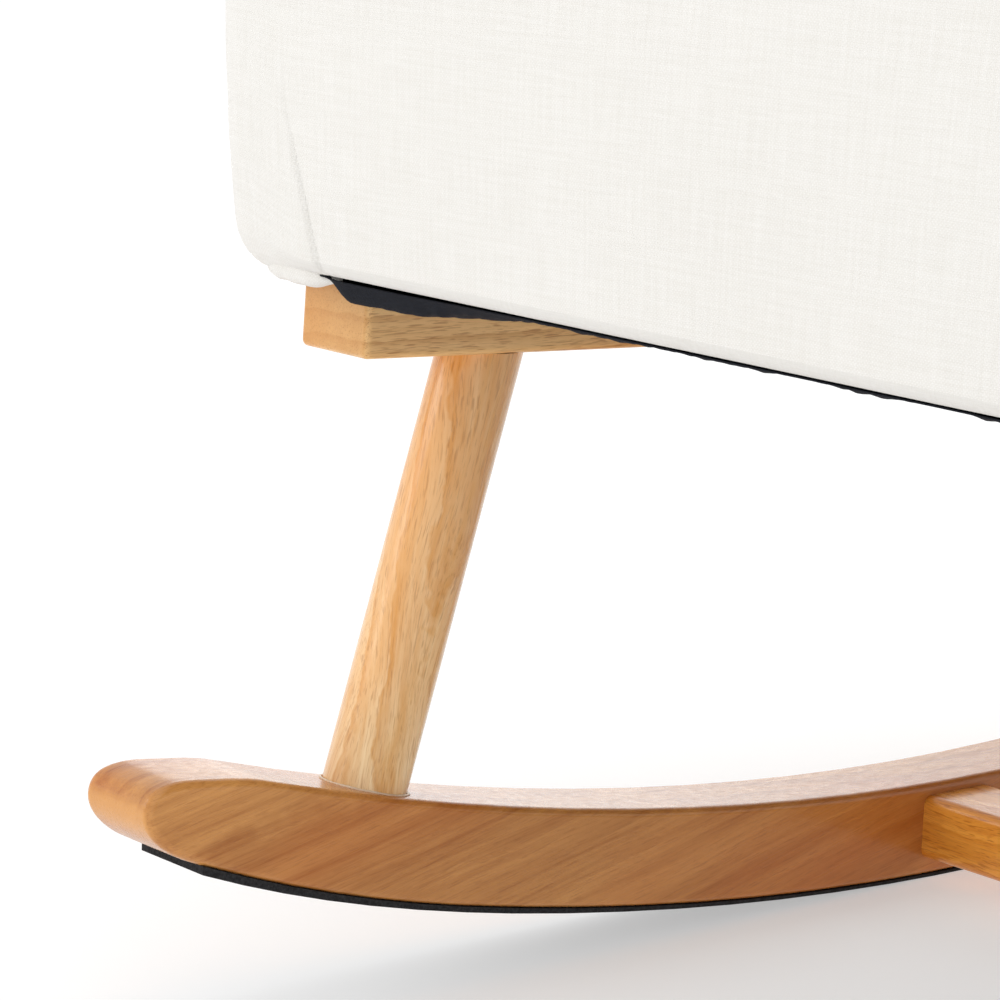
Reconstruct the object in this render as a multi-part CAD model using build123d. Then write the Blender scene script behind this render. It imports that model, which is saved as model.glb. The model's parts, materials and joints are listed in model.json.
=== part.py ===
from build123d import *
import os
from math import cos, radians, sin, sqrt, tan

# An upholstered nursery chair on two curved wooden rockers. Millimetres.
# X runs across the chair, Y from front to back, Z up. The origin is on the floor,
# under the lowest point of the rockers, midway between them.

# --- driving dimensions: rockers -------------------------------------------------
ROCKER_INNER_X = 240.0        # inner face of each rocker from the centre plane
ROCKER_WIDTH = 38.0
ROCKER_DEPTH = 38.0
ROCKER_RADIUS = 1410.0        # underside, over the middle stretch
NOSE_RADIUS = 725.0           # underside, over the two end stretches
MIDDLE_HALF = 270.0           # where the underside changes radius
UNDERSIDE_HALF = 388.0        # where the rounded nose begins
ROCKER_EASE = 3.0
STRIP_THIN = 1.2              # anti-slip strip at the middle, pressed flat
STRIP_THICK = 3.2             # and at its ends
STRIP_INSET = 0.5

# --- driving dimensions: legs, rails, stretcher ----------------------------------
LEG_RADIUS = 15.6
TENON_RADIUS = 9.0
TENON_LENGTH = 20.0
SOCKET_PLAY = 0.1
LEG_FOOT_X = ROCKER_INNER_X + 20.0
LEG_HEAD_X = ROCKER_INNER_X + 18.6
FRONT_LEG_Y = (-303.0, -257.7)   # foot, head
REAR_LEG_Y = (233.0, 187.7)
RAIL_FRONT_Y = -322.2
RAIL_WIDTH = 38.0
RAIL_INNER_X = ROCKER_INNER_X + 2.0
RAIL_HEIGHT = 28.9
RAIL_LENGTH = 585.0
SEAT_TILT = 2.0               # degrees, front edge up
FRAME_Z = 262.6               # underside of the seat frame above the rail's front end
STRETCHER_Y = -12.0
STRETCHER_WIDTH = 38.0
STRETCHER_BOTTOM = 8.9
STRETCHER_THICK = 26.0

# --- driving dimensions: upholstered body, in the seat's own x, v, w -------------
# v runs back along the rails from their front ends, w is normal to them.
BASE_FRONT = -21.0
BASE_BACK = 609.0
BASE_HEIGHT = 125.0
BASE_HALF = 307.6
SIDE_LEAN = 9.0
FRAME_HALF = 293.0
BOARD = 22.0
FRAME_HEIGHT = 95.0
CLOTH = 2.0
GAP = 0.3
ARM_INNER = 245.0
ARM_OUTER = 328.0
ARM_FLARE = 6.0
ARM_TOP = 345.0
ARM_FRONT = -14.0
CUSHION_HEIGHT = 90.0
CUSHION_REAR = 478.0
BACK_V = 537.0
BACK_W = 46.0
BACK_LEAN = 10.0
BACK_HEIGHT = 712.0
BACK_FRONT_T = -70.0
BACK_REAR_T = 33.0
BACK_HALF_LOW = 338.0
BACK_HALF_TOP = 298.0
BACK_CORNER = 70.0
POST_INNER = 243.0
POST_OUTER = 270.7
POST_THICK = 25.0
POST_LENGTH = 668.0
SPRING_WIRE = 1.8
SPRING_LEVEL = 97.0
ARM_RAIL_X = (262.0, 298.0)
ARM_RAIL_W = (294.0, 313.0)

SIDES = (("left", -1), ("right", 1))
SEAT = Pos(0, RAIL_FRONT_Y, FRAME_Z) * Rot(-SEAT_TILT, 0, 0)
BACK = SEAT * Pos(0, BACK_V, BACK_W) * Rot(-BACK_LEAN, 0, 0)

os.makedirs("parts", exist_ok=True)


# --- small helpers ---------------------------------------------------------------
def write(name, solids):
    """Write one node: a single solid or a group of separate ones."""
    solids = list(solids) if isinstance(solids, (list, tuple)) else [solids]
    pieces = [piece for item in solids for piece in item.solids()]
    shape = pieces[0] if len(pieces) == 1 else Compound(children=pieces)
    shape.label = name
    export_step(shape, "parts/" + name + ".step")


def block(x, y, z):
    """A box between two limits on each axis."""
    size = (x[1] - x[0], y[1] - y[0], z[1] - z[0])
    middle = ((x[0] + x[1]) / 2, (y[0] + y[1]) / 2, (z[0] + z[1]) / 2)
    return Pos(*middle) * Box(*size)


def side_block(side, x, y, z):
    """A box given for the right-hand side, mirrored when side is -1."""
    return block(sorted((side * x[0], side * x[1])), y, z)


def rod(start, end, radius):
    """A round bar between two points."""
    line = Vector(*end) - Vector(*start)
    return Plane(origin=start, z_dir=line) * Pos(0, 0, line.length / 2) * Cylinder(radius, line.length)


def eased(solid, radius, keep):
    """Round the edges that keep selects."""
    return fillet([edge for edge in solid.edges() if keep(edge)], radius)


# --- rockers ---------------------------------------------------------------------
ARC_TOP_Z = STRIP_THIN + ROCKER_RADIUS
NOSE_CENTRE = (
    MIDDLE_HALF * (1 - NOSE_RADIUS / ROCKER_RADIUS),
    ARC_TOP_Z - (1 - NOSE_RADIUS / ROCKER_RADIUS) * sqrt(ROCKER_RADIUS**2 - MIDDLE_HALF**2),
)


def underside(y):
    """Height of the rocker's wooden underside at y."""
    if abs(y) <= MIDDLE_HALF:
        return ARC_TOP_Z - sqrt(ROCKER_RADIUS**2 - y * y)
    reach = MIDDLE_HALF - NOSE_RADIUS * MIDDLE_HALF / ROCKER_RADIUS
    drop = ARC_TOP_Z - (ROCKER_RADIUS - NOSE_RADIUS) * sqrt(1 - (MIDDLE_HALF / ROCKER_RADIUS) ** 2)
    return drop - sqrt(NOSE_RADIUS**2 - (abs(y) - reach) ** 2)


def upper_face(y):
    """Height of the rocker's top face at y, away from the noses."""
    return ARC_TOP_Z - sqrt((ROCKER_RADIUS - ROCKER_DEPTH) ** 2 - y * y)


def underside_edges():
    """The underside as three tangent arcs in the YZ plane, front to back."""
    half = (MIDDLE_HALF + UNDERSIDE_HALF) / 2
    stops = (-UNDERSIDE_HALF, -half, -MIDDLE_HALF, 0, MIDDLE_HALF, half, UNDERSIDE_HALF)
    points = [(0, y, underside(y)) for y in stops]
    return [ThreePointArc(*points[i : i + 3]) for i in (0, 2, 4)]


def nose_edge(end):
    """The rounded nose from the top face round to the underside; end is -1 or 1."""
    top_y = 360.0
    points = [
        (0, end * top_y, upper_face(top_y)),
        (0, end * 386.0, 91.2),
        (0, end * 402.0, 91.6),
        (0, end * 410.2, 88.0),
        (0, end * 412.4, 82.0),
        (0, end * 406.0, 70.6),
        (0, end * UNDERSIDE_HALF, underside(UNDERSIDE_HALF)),
    ]
    rise = top_y / sqrt((ROCKER_RADIUS - ROCKER_DEPTH) ** 2 - top_y**2)
    reach = MIDDLE_HALF * (1 - NOSE_RADIUS / ROCKER_RADIUS)
    fall = (UNDERSIDE_HALF - reach) / sqrt(NOSE_RADIUS**2 - (UNDERSIDE_HALF - reach) ** 2)
    tangents = [(0, end, rise), (0, -end, -fall)]
    return Spline(points, tangents=tangents)


def rocker_outline():
    """The rocker's closed side profile."""
    top = ThreePointArc((0, -360, upper_face(360)), (0, 0, upper_face(0)), (0, 360, upper_face(360)))
    return make_face([*underside_edges(), nose_edge(-1), top, nose_edge(1)])


def rocker_block():
    """A rocker before its edges are eased, its inner face on X = 0, on the +X side."""
    return extrude(rocker_outline(), ROCKER_WIDTH, dir=(1, 0, 0))


def strip():
    """Rubber strip under a rocker: pressed thin where it carries the chair."""
    count = 12
    stations = [UNDERSIDE_HALF * (2 * i / count - 1) for i in range(count + 1)]
    lower = []
    for y in stations:
        thick = STRIP_THIN + (STRIP_THICK - STRIP_THIN) * (y / UNDERSIDE_HALF) ** 2
        lower.append((0, y, underside(y) - thick))
    ends = [
        Line((0, s * UNDERSIDE_HALF, underside(UNDERSIDE_HALF)), lower[0 if s < 0 else -1])
        for s in (-1, 1)
    ]
    outline = make_face([*underside_edges(), Spline(lower), *ends])
    return extrude(outline, ROCKER_WIDTH - 2 * STRIP_INSET, dir=(1, 0, 0))


# --- legs ------------------------------------------------------------------------
def leg_axis(side, leg_y):
    """Where a leg's centre line meets the rocker's top face and the rail's underside."""
    foot_y, head_y = leg_y
    foot = Vector(side * LEG_FOOT_X, foot_y, upper_face(foot_y))
    drop = (head_y - RAIL_FRONT_Y) * tan(radians(SEAT_TILT))
    head_z = FRAME_Z - drop - (RAIL_HEIGHT + 1) / cos(radians(SEAT_TILT))
    head = Vector(side * LEG_HEAD_X, head_y, head_z)
    return foot, head


def leg_rod(side, leg_y, radius, below, above):
    """A bar on the leg's centre line, running past each end by the given lengths."""
    foot, head = leg_axis(side, leg_y)
    along = (head - foot).normalized()
    return rod(tuple(foot - along * below), tuple(head + along * above), radius)


def leg(side, leg_y, rocker, rail):
    """Round leg with a tenon at each end, cut to the faces it stands against."""
    shaft = leg_rod(side, leg_y, LEG_RADIUS, 12, 12)
    foot, head = leg_axis(side, leg_y)
    low = side_block(side, (ROCKER_INNER_X - 30, ROCKER_INNER_X + 70), (-420, 420), (-40, 30))
    high = SEAT * side_block(side, (ROCKER_INNER_X - 30, ROCKER_INNER_X + 70), (-40, 640), (-12, 40))
    trimmed = shaft - rocker - rail - low - high
    body = max(trimmed.solids(), key=lambda piece: piece.volume)
    tenons = leg_rod(side, leg_y, TENON_RADIUS, TENON_LENGTH, TENON_LENGTH)
    pilots = leg_rod(side, leg_y, 2.1, 40, 40) - leg_rod(side, leg_y, 3.0, -30, -30)
    return body + tenons - pilots


def leg_sockets(side, leg_y):
    """The bored sockets that take a leg's tenons."""
    depth = TENON_LENGTH + 0.5
    whole = leg_rod(side, leg_y, TENON_RADIUS + SOCKET_PLAY, depth, depth)
    return whole + leg_rod(side, leg_y, 2.6, 60, 60)


def leg_screw(side, leg_y, at_head):
    """Countersunk screw along the leg's centre line, from outside the rocker or rail."""
    foot, head = leg_axis(side, leg_y)
    along = (head - foot).normalized()
    face = RAIL_HEIGHT if at_head else ROCKER_DEPTH
    start = head if at_head else foot
    outward = along if at_head else along * -1
    tip = start - outward * 24
    neck = start + outward * (face - 6.5)
    cap = start + outward * (face - 2.5)
    shank = rod(tuple(tip), tuple(neck), 2.0)
    cone = Plane(origin=tuple(neck), z_dir=cap - neck) * Pos(0, 0, 2) * Cone(2.0, 4.5, 4.0)
    return shank + cone


def countersink(side, leg_y, at_head):
    """Room for a leg screw's head in the rocker or rail."""
    foot, head = leg_axis(side, leg_y)
    along = (head - foot).normalized()
    face = RAIL_HEIGHT if at_head else ROCKER_DEPTH
    start = head if at_head else foot
    outward = along if at_head else along * -1
    return rod(tuple(start + outward * (face - 6.7)), tuple(start + outward * (face + 8)), 4.7)


LEGS = [
    (place + "_" + name, side, leg_y)
    for place, leg_y in (("front", FRONT_LEG_Y), ("rear", REAR_LEG_Y))
    for name, side in SIDES
]


# --- base frame: rockers, rails, stretcher and their fixings ----------------------
STRETCHER_BOLT_Y = (STRETCHER_Y - 9.0, STRETCHER_Y + 9.0)
STRETCHER_MID_Z = STRETCHER_BOTTOM + STRETCHER_THICK / 2
ROCKER_OUTER_X = ROCKER_INNER_X + ROCKER_WIDTH
NUT_INSET = 32.0
BOLT_HEAD = 4.0
RAIL_BOLT_V = (150.0, 430.0)
RAIL_MID_X = RAIL_INNER_X + RAIL_WIDTH / 2


def stretcher_rod(side, x, y, radius):
    """A bar along X at the stretcher's mid height, between two distances from the centre."""
    return rod((side * x[0], y, STRETCHER_MID_Z), (side * x[1], y, STRETCHER_MID_Z), radius)


def stretcher_bolt(side, y):
    """Flat-headed furniture bolt through a rocker into the stretcher."""
    top = ROCKER_OUTER_X - 1
    head = stretcher_rod(side, (top - BOLT_HEAD, top), y, 6.5)
    shank = stretcher_rod(side, (ROCKER_INNER_X - NUT_INSET - 8, top - BOLT_HEAD), y, 3.0)
    hexagon = Rot(0, 90, 0) * extrude(RegularPolygon(2.3, 6), 2, both=True)
    return head + shank - Pos(side * top, y, STRETCHER_MID_Z) * hexagon


def stretcher_bolt_room(side, y):
    """Hole and counterbore for a stretcher bolt."""
    outside = ROCKER_OUTER_X + 5
    hole = stretcher_rod(side, (ROCKER_INNER_X - NUT_INSET - 12, outside), y, 3.2)
    return hole + stretcher_rod(side, (ROCKER_OUTER_X - 1.1 - BOLT_HEAD, outside), y, 6.8)


def barrel_nut(side, y):
    """Barrel nut let into the stretcher from below."""
    x = side * (ROCKER_INNER_X - NUT_INSET)
    nut = rod((x, y, STRETCHER_MID_Z - 9), (x, y, STRETCHER_MID_Z + 7), 5.0)
    return nut - rod((x - 10, y, STRETCHER_MID_Z), (x + 10, y, STRETCHER_MID_Z), 3.1)


def on_rocker_side(edge):
    """Does an edge lie in one of a rocker's two side faces?"""
    x = abs(edge.center().X)
    return min(abs(x - ROCKER_INNER_X), abs(x - ROCKER_OUTER_X)) < 0.5


def make_base():
    """Rockers, strips, legs and rails."""
    for name, side in SIDES:
        inner = ROCKER_INNER_X if side > 0 else -ROCKER_OUTER_X
        plain = Pos(inner, 0, 0) * rocker_block()
        rocker = eased(plain, ROCKER_EASE, on_rocker_side)
        rail_x = (RAIL_INNER_X, RAIL_INNER_X + RAIL_WIDTH)
        plain_rail = side_block(side, rail_x, (0, RAIL_LENGTH), (-RAIL_HEIGHT - 1, -1))
        rail = SEAT * fillet(plain_rail.edges(), 2.5)
        flat_rail = SEAT * plain_rail
        for place, leg_y in (("front", FRONT_LEG_Y), ("rear", REAR_LEG_Y)):
            write("leg_" + place + "_" + name, leg(side, leg_y, plain, flat_rail))
            sockets = leg_sockets(side, leg_y)
            rocker = rocker - sockets - countersink(side, leg_y, False)
            rail = rail - sockets - countersink(side, leg_y, True)
        for y in STRETCHER_BOLT_Y:
            rocker -= stretcher_bolt_room(side, y)
        for v in RAIL_BOLT_V:
            rail -= rail_bolt_room(side, v)
        write("rocker_" + name, rocker)
        write("seat_rail_" + name, rail)
        write("antislip_strip_" + name, Pos(inner + STRIP_INSET, 0, 0) * strip())


def make_stretcher():
    """The flat board between the rockers, with its bolts and barrel nuts."""
    half = STRETCHER_WIDTH / 2
    board = block(
        (-ROCKER_INNER_X, ROCKER_INNER_X),
        (STRETCHER_Y - half, STRETCHER_Y + half),
        (STRETCHER_BOTTOM, STRETCHER_BOTTOM + STRETCHER_THICK),
    )
    board = fillet(board.edges().filter_by(Axis.X), 4.0)
    bolts, nuts = [], []
    for _, side in SIDES:
        for y in STRETCHER_BOLT_Y:
            x = side * (ROCKER_INNER_X - NUT_INSET)
            board -= stretcher_bolt_room(side, y)
            board -= rod((x, y, STRETCHER_BOTTOM - 5), (x, y, STRETCHER_MID_Z + 7.5), 5.15)
            bolts.append(stretcher_bolt(side, y))
            nuts.append(barrel_nut(side, y))
    write("rocker_stretcher", board)
    write("stretcher_bolts", bolts)
    write("stretcher_barrel_nuts", nuts)
    for at_head, name in ((True, "leg_head_screws"), (False, "leg_foot_screws")):
        write(name, [leg_screw(side, leg_y, at_head) for _, side, leg_y in LEGS])


# --- rail bolts, washers and T-nuts ----------------------------------------------
CLEAT_TOP = 45.0
RAIL_BOTTOM = -RAIL_HEIGHT - 1


def rail_bolt(side, v):
    """Hex-socket bolt up through a rail and its cleat."""
    x = side * RAIL_MID_X
    head = Pos(x, v, RAIL_BOTTOM + 4.6) * Cylinder(6.5, 6.0)
    socket = Pos(x, v, RAIL_BOTTOM + 1.6) * extrude(RegularPolygon(3.0, 6), 3, both=True)
    start, end = RAIL_BOTTOM + 7.6, CLEAT_TOP + 3
    shank = Pos(x, v, (start + end) / 2) * Cylinder(4.0, end - start)
    return SEAT * (head + shank - socket)


def rail_washer(side, v):
    ring = Cylinder(9.5, 1.6) - Cylinder(4.3, 2)
    return SEAT * Pos(side * RAIL_MID_X, v, RAIL_BOTTOM + 8.5) * ring


def rail_bolt_room(side, v):
    x = side * RAIL_MID_X
    recess = Pos(x, v, RAIL_BOTTOM + 4.2) * Cylinder(10.0, 10.4)
    return SEAT * (recess + Pos(x, v, 0) * Cylinder(4.25, 120))


def tee_nut(side, v):
    x = side * RAIL_MID_X
    flange = Pos(x, v, CLEAT_TOP + 0.8) * Cylinder(9.5, 1.4)
    barrel = Pos(x, v, CLEAT_TOP - 5) * Cylinder(5.5, 10.2)
    return SEAT * (flange + barrel - Pos(x, v, CLEAT_TOP) * Cylinder(4.1, 40))


def make_rail_fixings():
    places = [(side, v) for _, side in SIDES for v in RAIL_BOLT_V]
    write("rail_bolts", [rail_bolt(*place) for place in places])
    write("rail_bolt_washers", [rail_washer(*place) for place in places])
    write("tee_nuts", [tee_nut(*place) for place in places])


# --- seat frame ------------------------------------------------------------------
FRONT_BOARD = (-9.0, 13.0)
BACK_BOARD = (577.0, 599.0)
SIDE_INNER = FRAME_HALF - BOARD
STUMP_V = (20.0, 80.0)
STUMP_X = (SIDE_INNER - BOARD - GAP, SIDE_INNER - GAP)
BOLT_POINTS = [(35.0, 62.0), (65.0, 80.0)]     # v, w of the arm stump bolts
POST_BOLTS = [(552.0, 58.0), (560.0, 84.0)]    # v, w of the back post bolts
SCREW_W = (25.0, 70.0)
BLOCK_LEG = 58.0


def cross_bolt(side, v, w):
    """Bolt through a side board into the stump or post beside it."""
    head = SEAT * rod((side * (FRAME_HALF + 0.2), v, w), (side * (FRAME_HALF + 3.2), v, w), 6.5)
    shank = SEAT * rod((side * (STUMP_X[0] + 2), v, w), (side * (FRAME_HALF + 0.2), v, w), 3.0)
    return head + shank


def cross_hole(side, v, w):
    return SEAT * rod((side * (STUMP_X[0] - 4), v, w), (side * (FRAME_HALF + 1), v, w), 3.1)


def frame_screw(side, front, w):
    """Screw through a front or back board into a side board's end."""
    face = FRONT_BOARD[0] if front else BACK_BOARD[1]
    inward = 1 if front else -1
    x = side * (FRAME_HALF - BOARD / 2)
    head = rod((x, face + inward * 0.3, w), (x, face + inward * 3, w), 3.5)
    shank = rod((x, face + inward * 3, w), (x, face + inward * 50, w), 1.8)
    return SEAT * (head + shank)


def frame_screw_room(side, front, w):
    face = FRONT_BOARD[0] if front else BACK_BOARD[1]
    inward = 1 if front else -1
    x = side * (FRAME_HALF - BOARD / 2)
    head = rod((x, face - inward, w), (x, face + inward * 3.1, w), 3.7)
    return SEAT * (head + rod((x, face, w), (x, face + inward * 51, w), 1.9))


def corner_block(side):
    """Triangular block glued into a front corner of the seat frame."""
    x = side * (STUMP_X[0] - GAP)
    v = FRONT_BOARD[1]
    outline = Polyline((x, v), (x - side * BLOCK_LEG, v), (x, v + BLOCK_LEG), close=True)
    return SEAT * Pos(0, 0, 50) * extrude(make_face(outline), 40)


def make_seat_frame():
    """Four boards on edge, two cleats, and the blocks, screws and bolts in them."""
    screws = [(side, front, w) for _, side in SIDES for front in (True, False) for w in SCREW_W]
    rooms = [frame_screw_room(*place) for place in screws]
    for name, span in (("front", FRONT_BOARD), ("back", BACK_BOARD)):
        board = SEAT * block((-FRAME_HALF, FRAME_HALF), span, (0, FRAME_HEIGHT))
        for room in rooms:
            board -= room
        write("seat_frame_" + name, board)
    for name, side in SIDES:
        between = (FRONT_BOARD[1], BACK_BOARD[0])
        board = SEAT * side_block(side, (SIDE_INNER, FRAME_HALF), between, (0, FRAME_HEIGHT))
        for room in rooms:
            board -= room
        for v, w in BOLT_POINTS + POST_BOLTS:
            board -= cross_hole(side, v, w)
        write("seat_frame_" + name, board)
        cleat_x = (ROCKER_INNER_X - 2, SIDE_INNER)
        cleat = SEAT * side_block(side, cleat_x, between, (0, CLEAT_TOP))
        for v in RAIL_BOLT_V:
            cleat -= rail_bolt_room(side, v)
            cleat -= SEAT * Pos(side * RAIL_MID_X, v, CLEAT_TOP) * Cylinder(5.6, 21)
        write("rail_cleat_" + name, cleat)
    write("frame_screws", [frame_screw(*place) for place in screws])
    write("corner_blocks", [corner_block(side) for _, side in SIDES])
    bolts = [cross_bolt(side, v, w) for _, side in SIDES for v, w in BOLT_POINTS + POST_BOLTS]
    write("frame_bolts", bolts)


# --- springs ---------------------------------------------------------------------
SPRING_X = (-180.0, -90.0, 0.0, 90.0, 180.0)
SPRING_START = FRONT_BOARD[0] + 11.0
SPRING_END = BACK_BOARD[1] - 11.0
SPRING_SWING = 24.0
SPRING_BENDS = 22


def sinuous_spring(x):
    """Zigzag wire spring from the front board to the back board."""
    pitch = (SPRING_END - SPRING_START - 60) / SPRING_BENDS
    points = [(x, SPRING_START, SPRING_LEVEL), (x, SPRING_START + 30, SPRING_LEVEL)]
    for i in range(SPRING_BENDS):
        swing = SPRING_SWING if i % 2 else -SPRING_SWING
        v = SPRING_START + 30 + pitch * i
        points += [(x + swing, v + 0.5, SPRING_LEVEL), (x + swing, v + pitch - 0.5, SPRING_LEVEL)]
    points += [(x, SPRING_END - 30, SPRING_LEVEL), (x, SPRING_END, SPRING_LEVEL)]
    path = FilletPolyline(*points, radius=9.0)
    section = Plane(origin=path @ 0, z_dir=path % 0) * Circle(SPRING_WIRE)
    return SEAT * sweep(section, path=path)


def spring_clip(x, v):
    """Folded plate that holds a spring's end on top of a board."""
    plate = block((x - 9, x + 9), (v - 7, v + 7), (FRAME_HEIGHT + 0.1, FRAME_HEIGHT + 5))
    bore = rod((x, v - 12, SPRING_LEVEL), (x, v + 12, SPRING_LEVEL), SPRING_WIRE + 0.05)
    return SEAT * (fillet(plate.edges().filter_by(Axis.Y).group_by(Axis.Z)[-1], 1.5) - bore)


def make_springs():
    write("seat_springs", [sinuous_spring(x) for x in SPRING_X])
    ends = (SPRING_START + 6, SPRING_END - 6)
    write("spring_clips", [spring_clip(x, v) for x in SPRING_X for v in ends])
    pad = block((-230, 230), (4, 530), (100.3, 101.8))
    write("spring_pad", SEAT * pad)


# --- upholstered base ------------------------------------------------------------
def base_body(inset):
    """The border band round the seat frame, its outer form drawn in by inset."""
    spread = BASE_HEIGHT * tan(radians(SIDE_LEAN))
    high = BASE_HEIGHT - inset
    half_low, half_high = BASE_HALF - inset, BASE_HALF + spread - inset
    outline = Polyline((-half_low, 0), (half_low, 0), (half_high, high), (-half_high, high), close=True)
    depth = BASE_BACK - BASE_FRONT - 2 * inset
    body = extrude(Plane.XZ * make_face(outline), -depth)
    body = Pos(0, BASE_FRONT + inset, 0) * body
    return fillet(body.edges().filter_by(lambda e: is_upright(e, BASE_HEIGHT / 2)), 25.0 - inset)


def is_upright(edge, mid_height):
    """Is an edge one of a body's four upright corners?"""
    return abs(edge.center().Z - mid_height) < 12 and abs(edge.center().X) > 200


def post_room(side):
    """Space in the base for a back post, with clearance."""
    room = side_block(side, (POST_INNER - GAP, POST_OUTER + GAP), (-GAP, POST_THICK + GAP), (-1, 200))
    return Pos(0, BACK_V, BACK_W) * Rot(-BACK_LEAN, 0, 0) * room


def stump_room(side):
    x = (STUMP_X[0] - GAP, STUMP_X[1] + GAP)
    v = (STUMP_V[0] - GAP, STUMP_V[1] + GAP)
    return side_block(side, x, v, (CLEAT_TOP, ARM_RAIL_W[0] + GAP))


def make_base_upholstery():
    """Border padding, deck foam, the cover over both, and the dust cover beneath."""
    rooms = [room(side) for _, side in SIDES for room in (post_room, stump_room)]
    shell = base_body(0) - base_body(CLOTH) - block((-290, 290), (0, 590), (-5, 5))
    inner = base_body(CLOTH + GAP)
    frame_x = FRAME_HALF + 0.1
    frame_v = (FRONT_BOARD[0] - 0.1, BACK_BOARD[1] + 0.1)
    padding = inner - block((-frame_x, frame_x), frame_v, (-5, 200))
    for _, side in SIDES:
        for v, w in BOLT_POINTS + POST_BOLTS:
            padding -= rod((side * (FRAME_HALF - 1), v, w), (side * (FRAME_HALF + 3.5), v, w), 6.8)
    deck_top = BASE_HEIGHT - CLOTH - GAP
    deck = block((-FRAME_HALF, FRAME_HALF), (FRONT_BOARD[0], BACK_BOARD[1]), (102.0, deck_top))
    for room in rooms:
        deck -= room
        shell -= room
    write("border_padding", SEAT * padding)
    write("deck_foam", SEAT * deck)
    write("base_cover", SEAT * shell)


DUST_HALF = 297.0
DUST_SAG = 8.0
DUST_V = (-15.5, 603.5)


def make_dust_cover():
    """Black cloth under the seat frame, held by the rails and sagging between them."""
    edge_x = RAIL_INNER_X - 1.0
    upper, lower = -0.1, -0.9
    flat = [
        Line((-edge_x, upper), (-DUST_HALF, upper)),
        Line((-DUST_HALF, upper), (-DUST_HALF, lower)),
        Line((-DUST_HALF, lower), (-edge_x, lower)),
        ThreePointArc((-edge_x, lower), (0, lower - DUST_SAG), (edge_x, lower)),
        Line((edge_x, lower), (DUST_HALF, lower)),
        Line((DUST_HALF, lower), (DUST_HALF, upper)),
        Line((DUST_HALF, upper), (edge_x, upper)),
        ThreePointArc((edge_x, upper), (0, upper - DUST_SAG), (-edge_x, upper)),
    ]
    sheet = extrude(Plane.XZ * make_face(flat), -(DUST_V[1] - DUST_V[0]))
    sheet = SEAT * Pos(0, DUST_V[0], 0) * sheet
    for _, side in SIDES:
        for v in RAIL_BOLT_V:
            sheet -= SEAT * Pos(side * RAIL_MID_X, v, 0) * Cylinder(4.25, 20)
    write("dust_cover", sheet)
    staples = []
    for i in range(-5, 6):
        staples.append(side_staple(i * 42.0, DUST_V[1] - 5, lower, 0))
    for _, side in SIDES:
        for i in range(9):
            staples.append(side_staple(side * 291.0, 30 + i * 65.0, lower, 90))
    write("dust_cover_staples", staples)


def side_staple(x, v, level, turn):
    """Crown of a staple against the dust cover."""
    sag = DUST_SAG * max(0.0, 1 - (x / (RAIL_INNER_X - 1.0)) ** 2)
    return SEAT * Pos(x, v, level - sag - 0.75) * Rot(0, 0, turn) * Box(10.0, 1.2, 0.7)


# --- back ------------------------------------------------------------------------
BACK_RAIL_THICK = 22.0
BACK_RAIL_HEIGHT = 45.0
WEBBING = 2.0
STRAP_WIDTH = 50.0
STRAP_PITCH = 100.0
STRAP_COUNT = 5


def back_body(inset):
    """The reclined back's outer form, drawn in by inset, in the back's own x, t, u."""
    low = BASE_HEIGHT - BACK_W - 30
    top = BACK_HEIGHT - inset
    half_low = BACK_HALF_LOW - inset
    half_top = BACK_HALF_TOP - inset
    corners = (-half_low, low), (half_low, low), (half_top, top), (-half_top, top)
    outline = make_face(Polyline(*corners, close=True))
    corners = outline.vertices().group_by(Axis.Y)[-1]
    outline = fillet(corners, BACK_CORNER - inset)
    depth = BACK_REAR_T - BACK_FRONT_T - 2 * inset
    body = Pos(0, BACK_FRONT_T + inset, 0) * extrude(Plane.XZ * outline, -depth)
    round_edges = []
    for edge in body.edges():
        at = edge.center()
        on_face = min(abs(at.Y - BACK_FRONT_T - inset), abs(at.Y - BACK_REAR_T + inset)) < 0.1
        if edge.length > 50 and at.Z > low + 5 and on_face:
            round_edges.append(edge)
    return fillet(round_edges, 14.0 - inset)


def above_base(shape, lift):
    """Trim a shape in the back's frame to what lies above the base's top face."""
    level = Rot(BACK_LEAN, 0, 0) * Pos(0, -BACK_V, -BACK_W)
    return shape - level * block((-500, 500), (0, 900), (-300, BASE_HEIGHT + lift))


def arm_rail_room(side):
    """Slot in the back's padding for an arm rail's rear end, in the back's frame."""
    level = Rot(BACK_LEAN, 0, 0) * Pos(0, -BACK_V, -BACK_W)
    x = (ARM_RAIL_X[0] - GAP, ARM_RAIL_X[1] + GAP)
    return level * side_block(side, x, (300, 590), (ARM_RAIL_W[0] - GAP, ARM_RAIL_W[1] + GAP))


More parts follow.
